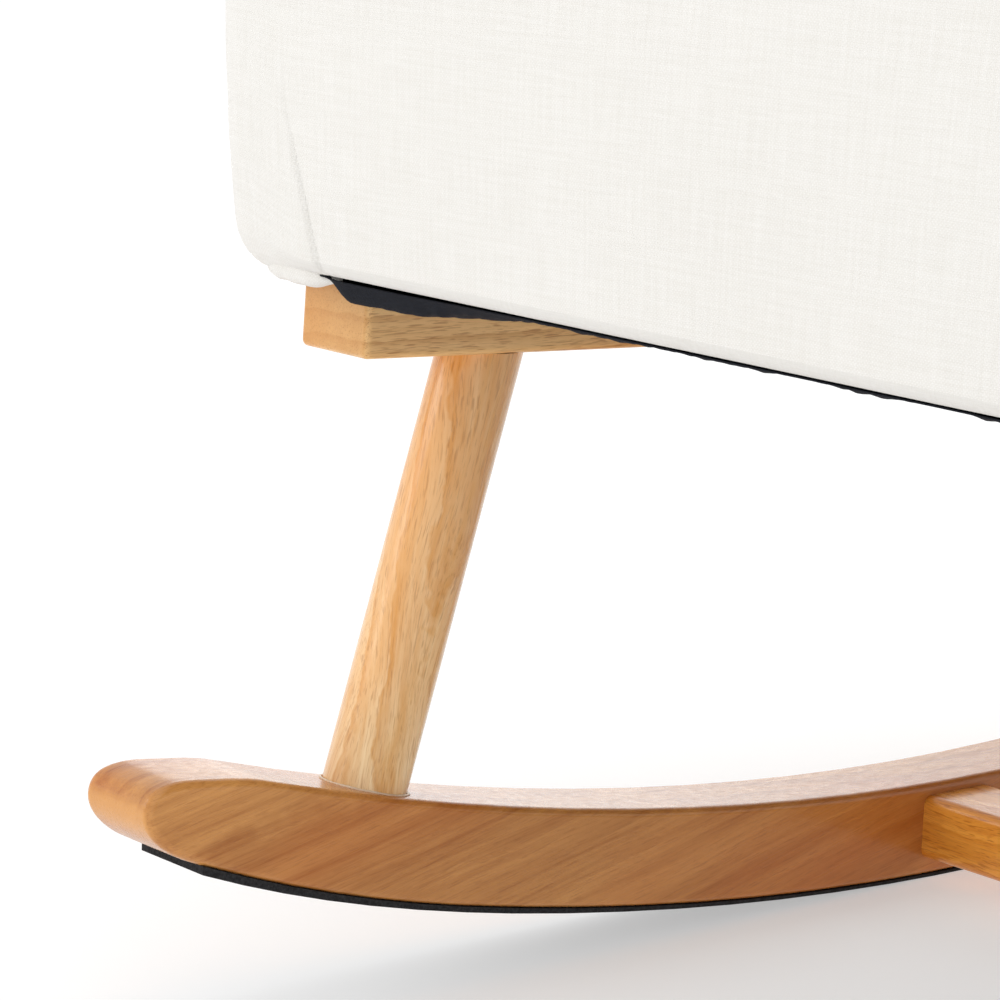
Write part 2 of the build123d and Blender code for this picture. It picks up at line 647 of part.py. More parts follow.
def make_back():
    """Back frame, webbing, foam, rear panel board and cover."""
    for name, side in SIDES:
        post = side_block(side, (POST_INNER, POST_OUTER), (0, POST_THICK), (0, POST_LENGTH))
        post = BACK * post
        for v, w in POST_BOLTS:
            post -= cross_hole(side, v, w)
        post -= SEAT * back_corner_trim(side)
        write("back_post_" + name, post)
    for name, top in (("top", POST_LENGTH), ("middle", 425), ("lower", 140)):
        rail = block((-POST_INNER, POST_INNER), (0, BACK_RAIL_THICK), (top - BACK_RAIL_HEIGHT, top))
        write("back_" + name + "_rail", BACK * rail)
    strap = block((-POST_OUTER, POST_OUTER), (-WEBBING - GAP, -GAP), (170, 170 + STRAP_WIDTH))
    write("back_webbing", [BACK * Pos(0, 0, STRAP_PITCH * i) * strap for i in range(STRAP_COUNT)])
    frame_x = POST_OUTER + 1
    hollow = block((-frame_x, frame_x), (-WEBBING - 2 * GAP, 60), (-50, POST_LENGTH + 0.5))
    foam = above_base(back_body(CLOTH + GAP), GAP + CLOTH) - hollow
    shell = above_base(back_body(0), GAP) - above_base(back_body(CLOTH), GAP - 10)
    for _, side in SIDES:
        foam -= arm_rail_room(side)
        shell -= arm_rail_room(side)
    write("back_foam", BACK * foam)
    write("back_cover", BACK * shell)
    board = block((-POST_OUTER, POST_OUTER), (POST_THICK + GAP, POST_THICK + 3.3), (90, POST_LENGTH))
    write("back_panel_board", BACK * board)


def back_corner_trim(side):
    """Clears the foot of a post from the cleat beneath it."""
    return side_block(side, (200, SIDE_INNER), (500, 600), (30, CLEAT_TOP + 0.5))


# --- arms ------------------------------------------------------------------------
def arm_body(side, inset):
    """An arm's outer form, drawn in by inset, before it is cut to the back."""
    low = BASE_HEIGHT + GAP
    inner, outer = ARM_INNER + inset, ARM_OUTER - inset
    top = ARM_TOP - inset
    corners = (inner, low), (outer, low), (outer + ARM_FLARE, top), (inner, top)
    outline = make_face(Polyline(*[(side * x, w) for x, w in corners], close=True))
    outline = fillet(outline.vertices().group_by(Axis.Y)[-1], 34.0 - inset)
    body = Pos(0, ARM_FRONT + inset, 0) * extrude(Plane.XZ * outline, -(600 - 2 * inset))
    front = body.edges().group_by(Axis.Y)[0].filter_by(lambda e: e.center().Z > low + 1)
    return fillet(front, 10.0 - inset)


def before_back(shape, gap, front=BACK_FRONT_T):
    """Cut a shape in the seat's frame a gap before a plane of the back."""
    keep_off = block((-500, 500), (front - gap, 400), (-200, 900))
    return shape - Pos(0, BACK_V, BACK_W) * Rot(-BACK_LEAN, 0, 0) * keep_off


def make_arms():
    """Each arm's stump, rail, foam and cover."""
    for name, side in SIDES:
        stump = side_block(side, STUMP_X, STUMP_V, (CLEAT_TOP + 0.5, ARM_RAIL_W[0]))
        stump = SEAT * stump
        for v, w in BOLT_POINTS:
            stump -= cross_hole(side, v, w)
        write("arm_stump_" + name, stump)
        rail = side_block(side, ARM_RAIL_X, (20, 700), ARM_RAIL_W)
        write("arm_rail_" + name, SEAT * before_back(rail, WEBBING + 2 * GAP, 0))
        rail_x = (ARM_RAIL_X[0] - GAP, ARM_RAIL_X[1] + GAP)
        rail_w = (ARM_RAIL_W[0] - GAP, ARM_RAIL_W[1] + GAP)
        rail_space = side_block(side, rail_x, (19, 700), rail_w)
        foam = before_back(arm_body(side, CLOTH + GAP), 2 * GAP + CLOTH) - rail_space - stump_room(side)
        write("arm_foam_" + name, SEAT * foam)
        shell = before_back(arm_body(side, 0), GAP) - before_back(arm_body(side, CLOTH), GAP + CLOTH)
        shell = shell - rail_space - stump_room(side)
        write("arm_cover_" + name, SEAT * shell)


# --- loose seat cushion ----------------------------------------------------------
def cushion_body(inset):
    """The seat cushion's outer form: a box cushion cut to the back's lean."""
    low = BASE_HEIGHT + GAP + inset
    high = BASE_HEIGHT + CUSHION_HEIGHT - inset
    lean = tan(radians(BACK_LEAN))
    front = BASE_FRONT + 4 + inset
    rear_low = CUSHION_REAR - inset
    rear_high = rear_low + (high - low) * lean
    outline = Polyline((front, low), (rear_low, low), (rear_high, high), (front, high), close=True)
    half = ARM_INNER - 1.0 - inset
    body = extrude(Plane.YZ * make_face(outline), half, both=True)
    body = fillet(body.edges().filter_by(lambda e: is_upright(e, (low + high) / 2)), 24.0 - inset)
    flat = body.faces().filter_by(Axis.Z)
    return fillet([edge for face in flat for edge in face.edges()], 12.0 - inset)


def make_cushion():
    """The cushion's cover and foam."""
    cover = cushion_body(0) - cushion_body(CLOTH)
    write("cushion_cover", SEAT * cover)
    write("cushion_foam", SEAT * cushion_body(CLOTH + GAP))


make_base()
make_stretcher()
make_rail_fixings()
make_seat_frame()
make_springs()
make_base_upholstery()
make_dust_cover()
make_back()
make_arms()
make_cushion()
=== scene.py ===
import json
import math

import bmesh
import bpy
from mathutils import Matrix, Vector, noise


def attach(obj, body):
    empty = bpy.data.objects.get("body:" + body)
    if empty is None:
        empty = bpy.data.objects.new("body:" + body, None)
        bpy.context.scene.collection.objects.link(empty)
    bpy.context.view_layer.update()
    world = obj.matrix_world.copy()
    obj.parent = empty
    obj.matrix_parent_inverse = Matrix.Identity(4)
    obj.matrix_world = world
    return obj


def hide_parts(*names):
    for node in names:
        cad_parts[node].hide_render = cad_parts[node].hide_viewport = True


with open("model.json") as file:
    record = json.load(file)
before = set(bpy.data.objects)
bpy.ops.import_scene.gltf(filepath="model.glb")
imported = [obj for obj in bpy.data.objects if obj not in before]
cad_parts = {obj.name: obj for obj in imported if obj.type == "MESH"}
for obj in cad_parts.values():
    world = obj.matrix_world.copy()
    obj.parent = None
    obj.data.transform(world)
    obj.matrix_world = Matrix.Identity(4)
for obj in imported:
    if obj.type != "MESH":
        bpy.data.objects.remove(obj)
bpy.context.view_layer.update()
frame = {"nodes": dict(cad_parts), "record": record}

# An upholstered rocking chair for a nursery. Metres, in the CAD's own frame: the
# front faces -Y and the rockers stand on Z = 0. These sizes repeat the CAD's.
RAIL_FRONT_Y = -0.3222
FRAME_Z = 0.2626
SEAT_TILT = math.radians(2.0)
BACK_V, BACK_W = 0.537, 0.046
BACK_LEAN = math.radians(10.0)
BACK_FRONT_T, BACK_REAR_T = -0.070, 0.033
BACK_HEIGHT = 0.712
BACK_HALF_LOW, BACK_HALF_TOP = 0.338, 0.298
BACK_CORNER = 0.070
BASE_FRONT, BASE_BACK = -0.021, 0.609
BASE_HEIGHT = 0.125
BASE_HALF = 0.3076
SIDE_LEAN = math.radians(9.0)
ARM_INNER, ARM_OUTER, ARM_FLARE, ARM_TOP = 0.245, 0.328, 0.006, 0.345
ARM_FRONT = -0.014
CUSHION_TOP = 0.215
CUSHION_REAR = 0.478
RAIL_INNER = 0.242
WELT_RADIUS = 0.0029
BAND_EDGE = 0.0085            # rounding of the band's upper rim
ROCKER_ARC_TOP = 1.4112
ROCKER_TOP_RADIUS = 1.372
LEG_RADIUS = 0.0156
LEG_FOOT_X, LEG_HEAD_X = 0.260, 0.2586
FRONT_LEG_Y = (-0.3030, -0.2577)
REAR_LEG_Y = (0.2330, 0.1877)

SEAT = Matrix.Translation((0, RAIL_FRONT_Y, FRAME_Z)) @ Matrix.Rotation(-SEAT_TILT, 4, "X")
BACK = SEAT @ Matrix.Translation((0, BACK_V, BACK_W)) @ Matrix.Rotation(-BACK_LEAN, 4, "X")
SWAP = Matrix(((1, 0, 0, 0), (0, 0, 1, 0), (0, 1, 0, 0), (0, 0, 0, 1)))   # (a, b, c) to (a, c, b)


# --- shader helpers --------------------------------------------------------------
def node(tree, kind, inputs=None, **settings):
    """Adds a shader node; an input is a number, a colour or another node's socket."""
    made = tree.nodes.new("ShaderNode" + kind)
    for key, value in settings.items():
        setattr(made, key, value)
    for key, value in (inputs or {}).items():
        if isinstance(value, bpy.types.NodeSocket):
            tree.links.new(value, made.inputs[key])
        else:
            made.inputs[key].default_value = value
    return made


def maths(tree, operation, a, b=0.0, clamp=False):
    return node(tree, "Math", {0: a, 1: b}, operation=operation, use_clamp=clamp).outputs[0]


def ramp(tree, factor, *stops):
    """A colour ramp; each stop is (place, grey or colour)."""
    made = node(tree, "ValToRGB", {0: factor})
    bar = made.color_ramp
    while len(bar.elements) < len(stops):
        bar.elements.new(0.5)
    for element, (place, colour) in zip(bar.elements, stops):
        element.position = place
        element.color = (*colour, 1) if hasattr(colour, "__len__") else (colour, colour, colour, 1)
    return made.outputs[0]


def mix(tree, factor, a, b):
    a = (*a, 1) if isinstance(a, tuple) else a
    b = (*b, 1) if isinstance(b, tuple) else b
    return node(tree, "Mix", {0: factor, 6: a, 7: b}, data_type="RGBA").outputs[2]


def noise_at(tree, vector, scale, detail=3.0, rough=0.55):
    inputs = {"Vector": vector, "Scale": scale, "Detail": detail, "Roughness": rough}
    return node(tree, "TexNoise", inputs).outputs[0]


def wandered(tree, at, seed, scale, reach):
    """Moves a coordinate about by a smooth noise read at seed."""
    drift = node(tree, "TexNoise", {"Vector": seed, "Scale": scale, "Detail": 2.0}).outputs[1]
    middle = {0: drift, 1: (0.5, 0.5, 0.5)}
    drift = node(tree, "VectorMath", middle, operation="SUBTRACT").outputs[0]
    drift = node(tree, "VectorMath", {0: drift, "Scale": reach}, operation="SCALE").outputs[0]
    return node(tree, "VectorMath", {0: at, 1: drift}).outputs[0]


def mapped(tree, vector, turn=(0, 0, 0), shift=(0, 0, 0), scale=(1, 1, 1)):
    inputs = {"Vector": vector, "Rotation": turn, "Location": shift, "Scale": scale}
    return node(tree, "Mapping", inputs).outputs[0]


def bumped(tree, height, distance, strength=1.0, below=None):
    inputs = {"Height": height, "Distance": distance, "Strength": strength}
    if below:
        inputs["Normal"] = below
    return node(tree, "Bump", inputs).outputs[0]


def socket_name(key):
    return key.replace("_", " ").title().replace("Ior", "IOR")


def material(name, **values):
    """A new material: (material, tree, principled shader), with values set on the shader."""
    made = bpy.data.materials.new(name)
    made.use_nodes = True
    shader = made.node_tree.nodes["Principled BSDF"]
    for key, value in values.items():
        shader.inputs[socket_name(key)].default_value = value
    return made, made.node_tree, shader


def feed(tree, shader, **sockets):
    for key, value in sockets.items():
        tree.links.new(value, shader.inputs[socket_name(key)])


def object_coords(tree):
    return node(tree, "TexCoord").outputs["Object"]


# --- materials -------------------------------------------------------------------
def wood(name, turn, shift, light, dark, ring=0.009, streak=0.5, rings=0.5, pores=0.6, gloss=0.24,
         coat=0.45, swirl=0.030, end=0.42, twist=1.6):
    """Lacquered solid wood whose grain runs along the mapped Z axis, its pith off to one side.
    end darkens ends across the grain towards the dark colour, as end grain takes more finish; if
    negative it lightens them instead, which is a painted highlight."""
    made, tree, shader = material(name, coat_weight=coat, coat_roughness=0.08, coat_ior=1.5)
    shader.inputs["Specular IOR Level"].default_value = 0.25
    at = mapped(tree, object_coords(tree), turn, shift)
    bent = wandered(tree, at, mapped(tree, at, scale=(1, 1, 0.30)), 16.0, swirl)
    inputs = {"Vector": bent, "Scale": 0.314 / ring, "Distortion": twist}
    inputs.update({"Detail": 2.0, "Detail Scale": 3.0})
    wave = node(tree, "TexWave", inputs, wave_type="RINGS", rings_direction="Z", wave_profile="SAW")
    growth = wave.outputs[1]
    growth = ramp(tree, growth, (0.0, 0.0), (0.62, 0.35), (0.93, 1.0), (1.0, 0.1))
    fibre = noise_at(tree, mapped(tree, bent, scale=(1, 1, 0.018)), 620.0, 4.0, 0.62)
    fibre = ramp(tree, fibre, (0.36, 0.0), (0.64, 1.0))
    flame = noise_at(tree, mapped(tree, bent, scale=(1, 1, 0.05)), 110.0, 3.0, 0.6)
    flame = ramp(tree, flame, (0.40, 0.0), (0.62, 1.0))
    depth = maths(tree, "MULTIPLY", growth, rings)
    depth = maths(tree, "ADD", depth, maths(tree, "MULTIPLY", fibre, streak * 0.55))
    depth = maths(tree, "ADD", depth, maths(tree, "MULTIPLY", flame, streak * 0.7), clamp=True)
    colour = mix(tree, depth, light, dark)
    broad = noise_at(tree, mapped(tree, at, scale=(1, 1, 0.4)), 13.0, 2.0)
    warm = tuple(c * k for c, k in zip(dark, (1.35, 0.95, 0.45)))
    colour = mix(tree, ramp(tree, broad, (0.40, 0.0), (0.70, 0.55)), colour, warm)
    dash = noise_at(tree, mapped(tree, bent, scale=(1, 1, 0.075)), 1250.0, 1.5, 0.5)
    fine = noise_at(tree, mapped(tree, bent, scale=(1, 1, 0.05)), 2300.0, 1.5, 0.5)
    dash = maths(tree, "MAXIMUM", ramp(tree, dash, (0.590, 0.0), (0.68, pores)),
                 ramp(tree, fine, (0.560, 0.0), (0.66, pores * 0.7)))
    colour = mix(tree, dash, colour, tuple(c * k for c, k in zip(dark, (0.62, 0.45, 0.35))))
    look = mapped(tree, node(tree, "NewGeometry").outputs["Normal"], turn)
    facing = maths(tree, "ABSOLUTE", node(tree, "SeparateXYZ", {0: look}).outputs[2])
    # Faces across the grain: with a positive end, darker end grain; with a negative end, lighter, a
    # painted highlight.
    end_grain_and_highlight = ramp(tree, facing, (0.75, 0.0), (0.97, abs(end)))
    colour = mix(tree, end_grain_and_highlight, colour, dark if end > 0 else light)
    peel = noise_at(tree, at, 420.0, 2.0)
    rough = ramp(tree, fibre, (0.0, gloss), (1.0, gloss + 0.12))
    height = maths(tree, "SUBTRACT", maths(tree, "MULTIPLY", fibre, 0.35), dash)
    grained = bumped(tree, height, 0.00012, 0.35)
    skin = bumped(tree, peel, 0.0004, 0.12, grained)
    coat_skin = bumped(tree, peel, 0.0006, 0.14)
    feed(tree, shader, base_color=colour, roughness=rough, normal=skin, coat_normal=coat_skin)
    return made


def woven(name, light, shade, pitch=0.00072):
    """Plain-weave upholstery cloth on a UV map in metres: round threads, slubs and fuzz, with painted
    shade in the gaps between threads.
    """
    made, tree, shader = material(name, sheen_weight=0.35, sheen_roughness=0.45)
    shader.inputs["Specular IOR Level"].default_value = 0.18
    uv = node(tree, "UVMap").outputs[0]
    loose = wandered(tree, uv, uv, 260.0, pitch * 0.9)
    split = node(tree, "SeparateXYZ", {0: loose})
    turns = [maths(tree, "MULTIPLY", split.outputs[i], math.pi / pitch) for i in (0, 1)]
    across = maths(tree, "SINE", turns[0])
    along = maths(tree, "SINE", turns[1])
    over = maths(tree, "MULTIPLY", across, along)
    ridge = maths(tree, "ADD", maths(tree, "ABSOLUTE", across), maths(tree, "ABSOLUTE", along))
    ridge = maths(tree, "MULTIPLY", ridge, 0.35)
    threads = maths(tree, "ADD", maths(tree, "MULTIPLY", over, 0.5), ridge)
    slub_u = noise_at(tree, mapped(tree, uv, scale=(0.05, 1, 1)), 700.0, 2.0)
    slub_v = noise_at(tree, mapped(tree, uv, scale=(1, 0.05, 1)), 700.0, 2.0)
    slub = maths(tree, "ADD", slub_u, slub_v)
    fuzz = noise_at(tree, uv, 2600.0, 3.0, 0.7)
    height = maths(tree, "ADD", threads, maths(tree, "MULTIPLY", slub, 0.8))
    height = maths(tree, "ADD", height, maths(tree, "MULTIPLY", fuzz, 0.5))
    # Slubs and broad patches are the yarn's own tone; the threads term darkens the gaps between threads
    # towards the shade colour, which is painted shade.
    tone = maths(tree, "MULTIPLY", slub, 0.34)
    tone = maths(tree, "ADD", maths(tree, "MULTIPLY", threads, 0.30), tone)
    broad = noise_at(tree, uv, 9.0, 2.0)
    tone = maths(tree, "ADD", tone, maths(tree, "MULTIPLY", broad, 0.12))
    colour = mix(tree, ramp(tree, tone, (0.25, 0.0), (0.80, 1.0)), shade, light)
    rough = ramp(tree, fuzz, (0.0, 0.78), (1.0, 0.95))
    feed(tree, shader, base_color=colour, roughness=rough, normal=bumped(tree, height, 0.00022, 0.55))
    return made


def speckled(name, base, fleck, scale, amount, bump, rough):
    """A mottled surface: rubber, felt, foam, hardboard, spun cloth or glue."""
    made, tree, shader = material(name)
    shader.inputs["Specular IOR Level"].default_value = 0.15
    at = object_coords(tree)
    grain = noise_at(tree, at, scale, 4.0, 0.7)
    cells = node(tree, "TexVoronoi", {"Vector": at, "Scale": scale * 0.8}).outputs[0]
    spots = maths(tree, "MULTIPLY", ramp(tree, cells, (0.05, 1.0), (0.32, 0.0)), amount)
    colour = mix(tree, ramp(tree, grain, (0.3, 0.0), (0.75, 0.6)), base, fleck)
    colour = mix(tree, spots, colour, fleck)
    rough = ramp(tree, grain, (0.2, rough - 0.12), (0.8, min(rough + 0.08, 1.0)))
    feed(tree, shader, base_color=colour, roughness=rough, normal=bumped(tree, grain, bump, 0.8))
    return made


def zinc(name):
    """Zinc-plated steel with a mottled dullness and fine drawing marks."""
    made, tree, shader = material(name, metallic=1.0)
    at = object_coords(tree)
    cloud = noise_at(tree, at, 180.0, 3.0)
    marks = noise_at(tree, mapped(tree, at, scale=(1, 1, 0.08)), 2600.0, 2.0)
    colour = mix(tree, cloud, (0.52, 0.53, 0.55), (0.70, 0.69, 0.66))
    wear = maths(tree, "MULTIPLY", marks, 0.4)
    wear = maths(tree, "ADD", maths(tree, "MULTIPLY", cloud, 0.6), wear)
    rough = ramp(tree, wear, (0.2, 0.24), (0.9, 0.48))
    feed(tree, shader, base_color=colour, roughness=rough, normal=bumped(tree, marks, 0.00005, 0.5))
    return made


ALONG_Y = math.radians(90)
LIGHT_TAN, DARK_TAN = (0.97, 0.775, 0.47), (0.68, 0.375, 0.13)
ivory = woven("ivory_weave", (0.865, 0.85, 0.822), (0.74, 0.715, 0.665))
welt_cloth = woven("ivory_welt", (0.855, 0.837, 0.80), (0.72, 0.69, 0.63), 0.0006)
rubber = speckled("strip_rubber", (0.004, 0.004, 0.0045), (0.075, 0.075, 0.08), 900.0,
                  0.35, 0.0004, 0.85)
black_cloth = speckled("black_nonwoven", (0.003, 0.0035, 0.006), (0.022, 0.025, 0.036), 1100.0,
                       0.4, 0.0003, 0.82)
foam = speckled("foam", (0.78, 0.70, 0.45), (0.86, 0.80, 0.60), 900.0, 0.3, 0.0005, 0.9)
felt = speckled("felt_and_webbing", (0.30, 0.28, 0.25), (0.55, 0.53, 0.50), 700.0,
                0.5, 0.0005, 0.92)
board = speckled("board", (0.22, 0.13, 0.07), (0.34, 0.22, 0.12), 500.0, 0.3, 0.0001, 0.7)
bead_lacquer = speckled("lacquer_bead", (0.72, 0.52, 0.33), (0.90, 0.80, 0.68), 900.0,
                        0.5, 0.0002, 0.25)
steel = zinc("steel")
frame_timber = wood("frame_timber", (ALONG_Y, 0, 0), (0.02, 0.05, 0.01),
                    (0.72, 0.55, 0.34), (0.52, 0.34, 0.17), gloss=0.55)
stretcher_wood = wood("stretcher_wood", (0, math.radians(90), 0), (0.03, 0.055, 0.0),
                      (0.92, 0.42, 0.07), (0.62, 0.21, 0.02), ring=0.012, rings=0.55,
                      streak=0.55, coat=0.3)


def cad_wood(name):
    """The wood for one visible part of the base, its grain laid along that part."""
    side = -1 if "left" in name else 1
    rear = "rear" in name
    if name.startswith(("rocker_l", "rocker_r")):
        # The negative end paints a highlight onto the rocker noses, lighter than their lacquered wood.
        return wood(name, (ALONG_Y - math.radians(13), 0, 0), (0.05 + 0.3 * side, 0.075, 0.02),
                    (0.70, 0.335, 0.100), (0.38, 0.130, 0.024), ring=0.013, rings=0.34, streak=0.56,
                    pores=0.26, coat=0.32, swirl=0.010, end=-0.85, twist=0.7)
    if name.startswith("leg_"):
        lean = math.atan2(FRONT_LEG_Y[1] - FRONT_LEG_Y[0], 0.2) * (-1 if rear else 1)
        shift = (0.03 * side + 0.28 * side, 0.33 - 0.58 * rear, 0.07 * side)
        return wood(name, (lean, 0, 0), shift, LIGHT_TAN, DARK_TAN, ring=0.0085, rings=0.55,
                    streak=0.64, pores=0.42, gloss=0.20, swirl=0.048)
    return wood(name, (ALONG_Y, 0, 0), (0.235 * -side, -0.27, 0.03 * side), (0.94, 0.60, 0.26),
                (0.60, 0.29, 0.085), ring=0.0085, rings=0.55, streak=0.36, pores=0.6, gloss=0.30,
                coat=0.3, swirl=0.010, end=0.6, twist=0.8)


SLOT_LOOK = {
    "strip_rubber": rubber, "black_nonwoven": black_cloth, "foam": foam, "felt_and_webbing": felt,
    "board": board, "frame_timber": frame_timber, "steel": steel, "stretcher_wood": stretcher_wood,
    "ivory_weave": ivory,
}
for part in frame["record"]["subparts"]:
    carried = frame["nodes"][part["node"]]
    look = SLOT_LOOK.get(part["material_slot"]) or cad_wood(part["node"])
    carried.data.materials.clear()
    carried.data.materials.append(look)


# --- mesh helpers ----------------------------------------------------------------
def finish_mesh(name, bm, look, body):
    """Turns a bmesh into a piece that rides on a body."""
    mesh = bpy.data.meshes.new(name)
    bmesh.ops.recalc_face_normals(bm, faces=bm.faces)
    bm.to_mesh(mesh)
    bm.free()
    obj = bpy.data.objects.new(name, mesh)
    bpy.context.scene.collection.objects.link(obj)
    mesh.materials.append(look)
    for face in mesh.polygons:
        face.use_smooth = True
    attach(obj, body)
    return obj


def ring_length(ring):
    return sum((Vector(a) - Vector(b)).length for a, b in zip(ring, ring[1:]))


def loft(name, rings, look, body, caps=(False, False)):
    """A skin over closed rings of points, with a UV map in metres."""
    bm = bmesh.new()
    layer = bm.loops.layers.uv.new("UVMap")
    grid = [[bm.verts.new(p) for p in ring] for ring in rings]
    count = len(rings[0])
    wide = max(rings, key=ring_length)
    sampled = range(0, count, max(1, count // 12))
    u = [0.0]
    for i in range(1, count + 1):
        u.append(u[-1] + (Vector(wide[i % count]) - Vector(wide[i - 1])).length)
    v = [0.0]
    for low, high in zip(rings, rings[1:]):
        v.append(v[-1] + max((Vector(high[i]) - Vector(low[i])).length for i in sampled))
    for j in range(len(rings) - 1):
        for i in range(count):
            k = (i + 1) % count
            face = bm.faces.new((grid[j][i], grid[j][k], grid[j + 1][k], grid[j + 1][i]))
            corners = ((u[i], v[j]), (u[i + 1], v[j]), (u[i + 1], v[j + 1]), (u[i], v[j + 1]))
            for loop, at in zip(face.loops, corners):
                loop[layer].uv = at
    for wanted, ring in zip(caps, (grid[0], grid[-1])):
        if wanted:
            face = bm.faces.new(ring)
            for loop in face.loops:
                loop[layer].uv = (loop.vert.co.x, loop.vert.co.y)
    return finish_mesh(name, bm, look, body)


def tube_rings(points, radius, closed, sides=10):
    """Rings round a path; radius may be a number or a function of the share of the way along."""
    points = [Vector(p) for p in points]
    count = len(points)
    rings = []
    last = None
    for i, p in enumerate(points):
        ahead = points[(i + 1) % count] if closed or i < count - 1 else p
        behind = points[i - 1] if closed or i > 0 else p
        along = (ahead - behind).normalized()
        side = last if last is not None else along.orthogonal()
        side = (side - along * side.dot(along)).normalized()
        last = side
        other = along.cross(side)
        r = radius(i / max(1, count - 1)) if callable(radius) else radius
        turns = [2 * math.pi * k / sides for k in range(sides)]
        rings.append([p + side * (r * math.cos(a)) + other * (r * math.sin(a)) for a in turns])
    return rings


def piping(name, points, body):
    """A closed welt sewn into a seam."""
    rings = tube_rings(points, WELT_RADIUS, True)
    rings.append(rings[0])
    shifted = min(range(len(rings[0])), key=lambda k: (rings[0][k] - rings[-2][0]).length)
    rings[-1] = rings[0][-shifted % len(rings[0]):] + rings[0][: -shifted % len(rings[0])]
    return loft(name, rings, welt_cloth, body)


def rounded(corners, steps=7):
    """A closed outline from (a, b, radius) corners, with arcs and evenly spaced straights."""
    out = []
    count = len(corners)
    for i, (a, b, radius) in enumerate(corners):
        here = Vector((a, b))
        before = (Vector(corners[i - 1][:2]) - here).normalized()
        after = (Vector(corners[(i + 1) % count][:2]) - here).normalized()
        half = before.angle(after) / 2
        reach = radius / math.tan(half)
        middle = here + (before + after).normalized() * (radius / math.sin(half))
        start, end = here + before * reach - middle, here + after * reach - middle
        swing = start.angle_signed(end)
        for k in range(steps + 1):
            turned = start.copy()
            turned.rotate(Matrix.Rotation(-swing * k / steps, 2))
            out.append(middle + turned)
    return spaced(out, 0.006)


def spaced(outline, gap):
    """The same closed outline with points no further apart than gap."""
    out = []
    for a, b in zip(outline, outline[1:] + outline[:1]):
        parts = max(1, math.ceil((b - a).length / gap))
        if (b - a).length > 1e-6:
            out += [a.lerp(b, k / parts) for k in range(parts)]
    return out


def box_uv(obj, place):
    """A UV map in metres, laid flat on whichever of the piece's own three directions each face looks."""
    mesh = obj.data
    layer = mesh.uv_layers.get("UVMap") or mesh.uv_layers.new(name="UVMap")
    back = place.inverted()
    spin = back.to_3x3()
    own = [back @ v.co for v in mesh.vertices]
    for face in mesh.polygons:
        normal = spin @ face.normal
        axis = max(range(3), key=lambda i: abs(normal[i]))
        a, b = [i for i in range(3) if i != axis]
        for index in face.loop_indices:
            at = own[mesh.loops[index].vertex_index]
            layer.data[index].uv = (at[a], at[b])


def lay_flat(obj, place, level):
    """Gives the faces of a piece that lie above a level a UV map laid flat on them."""
    back = place.inverted()
    mesh = obj.data
    layer = mesh.uv_layers["UVMap"]
    for face in mesh.polygons:
        own = [back @ mesh.vertices[i].co for i in face.vertices]
        if min(p.z for p in own) > level:
            for index, at in zip(face.loop_indices, own):
                layer.data[index].uv = (at.x, at.y)


def block(name, outline, span, place, look, body, edge, reshape=None):
    """A closed block on an outline, with rounded rims. Outline is in (a, b), span along c."""
    bm = bmesh.new()
    rings = []
    steps = 5
    turns = [math.pi / 2 * k / steps for k in range(steps + 1)]
    levels = [(edge * (1 - math.sin(t)), span[0] + edge * (1 - math.cos(t))) for t in turns]
    levels += [(edge * (1 - math.cos(t)), span[1] - edge * (1 - math.sin(t))) for t in turns]
    middle = Vector((sum(p.x for p in outline) / len(outline), sum(p.y for p in outline) / len(outline)))
    size = max((p - middle).length for p in outline)
    for inset, c in levels:
        shrunk = [middle + (p - middle) * (1 - inset / size) for p in outline]
        rings.append([bm.verts.new((p.x, p.y, c)) for p in shrunk])
    for low, high in zip(rings, rings[1:]):
        for i in range(len(outline)):
            k = (i + 1) % len(outline)
            bm.faces.new((low[i], low[k], high[k], high[i]))
    bm.faces.new(rings[0])
    bm.faces.new(rings[-1])
    for vert in bm.verts:
        at = reshape(vert.co.copy()) if reshape else vert.co.copy()
        vert.co = place @ at
    return finish_mesh(name, bm, look, body)


def use_modifier(obj, kind, **settings):
    made = obj.modifiers.new(kind.lower(), kind)
    for key, value in settings.items():
        setattr(made, key, value)
    return made


def bake_modifiers(obj):
    """Replaces a piece's mesh by its evaluated one."""
    graph = bpy.context.evaluated_depsgraph_get()
    mesh = bpy.data.meshes.new_from_object(obj.evaluated_get(graph))
    obj.modifiers.clear()
    obj.data = mesh


def plump(obj, pinned, pressure, cap, place, voxel=0.006, frames=20):
    """Swells a closed piece as stuffed cloth does. pinned(point) gives 0 free to 1 held."""
    use_modifier(obj, "REMESH", mode="VOXEL", voxel_size=voxel)
    bpy.context.view_layer.update()
    bake_modifiers(obj)
    mesh = obj.data
    start = [v.co.copy() for v in mesh.vertices]
    group = obj.vertex_groups.new(name="held")
    back = place.inverted()
    for i, co in enumerate(start):
        held = pinned(back @ co)
        if held > 0:
            group.add([i], held, "REPLACE")
    cloth = use_modifier(obj, "CLOTH")
    settings = cloth.settings
    settings.quality = 4
    settings.mass = 0.3
    settings.tension_stiffness = 12
    settings.compression_stiffness = 12
    settings.shear_stiffness = 5
    settings.bending_stiffness = 0.4
    settings.use_pressure = True
    settings.uniform_pressure_force = pressure
    settings.vertex_group_mass = "held"
    settings.effector_weights.gravity = 0
    cloth.collision_settings.use_collision = False
    scene = bpy.context.scene
    cloth.point_cache.frame_start, cloth.point_cache.frame_end = 1, frames
    for step in range(1, frames + 1):
        scene.frame_set(step)
    bake_modifiers(obj)
    scene.frame_set(1)
    for vert, was in zip(obj.data.vertices, start):
        move = vert.co - was
        if move.length > cap:
            vert.co = was + move * (cap / move.length)
    for face in obj.data.polygons:
        face.use_smooth = True
    box_uv(obj, place)
    use_modifier(obj, "SUBSURF", levels=1, render_levels=1)


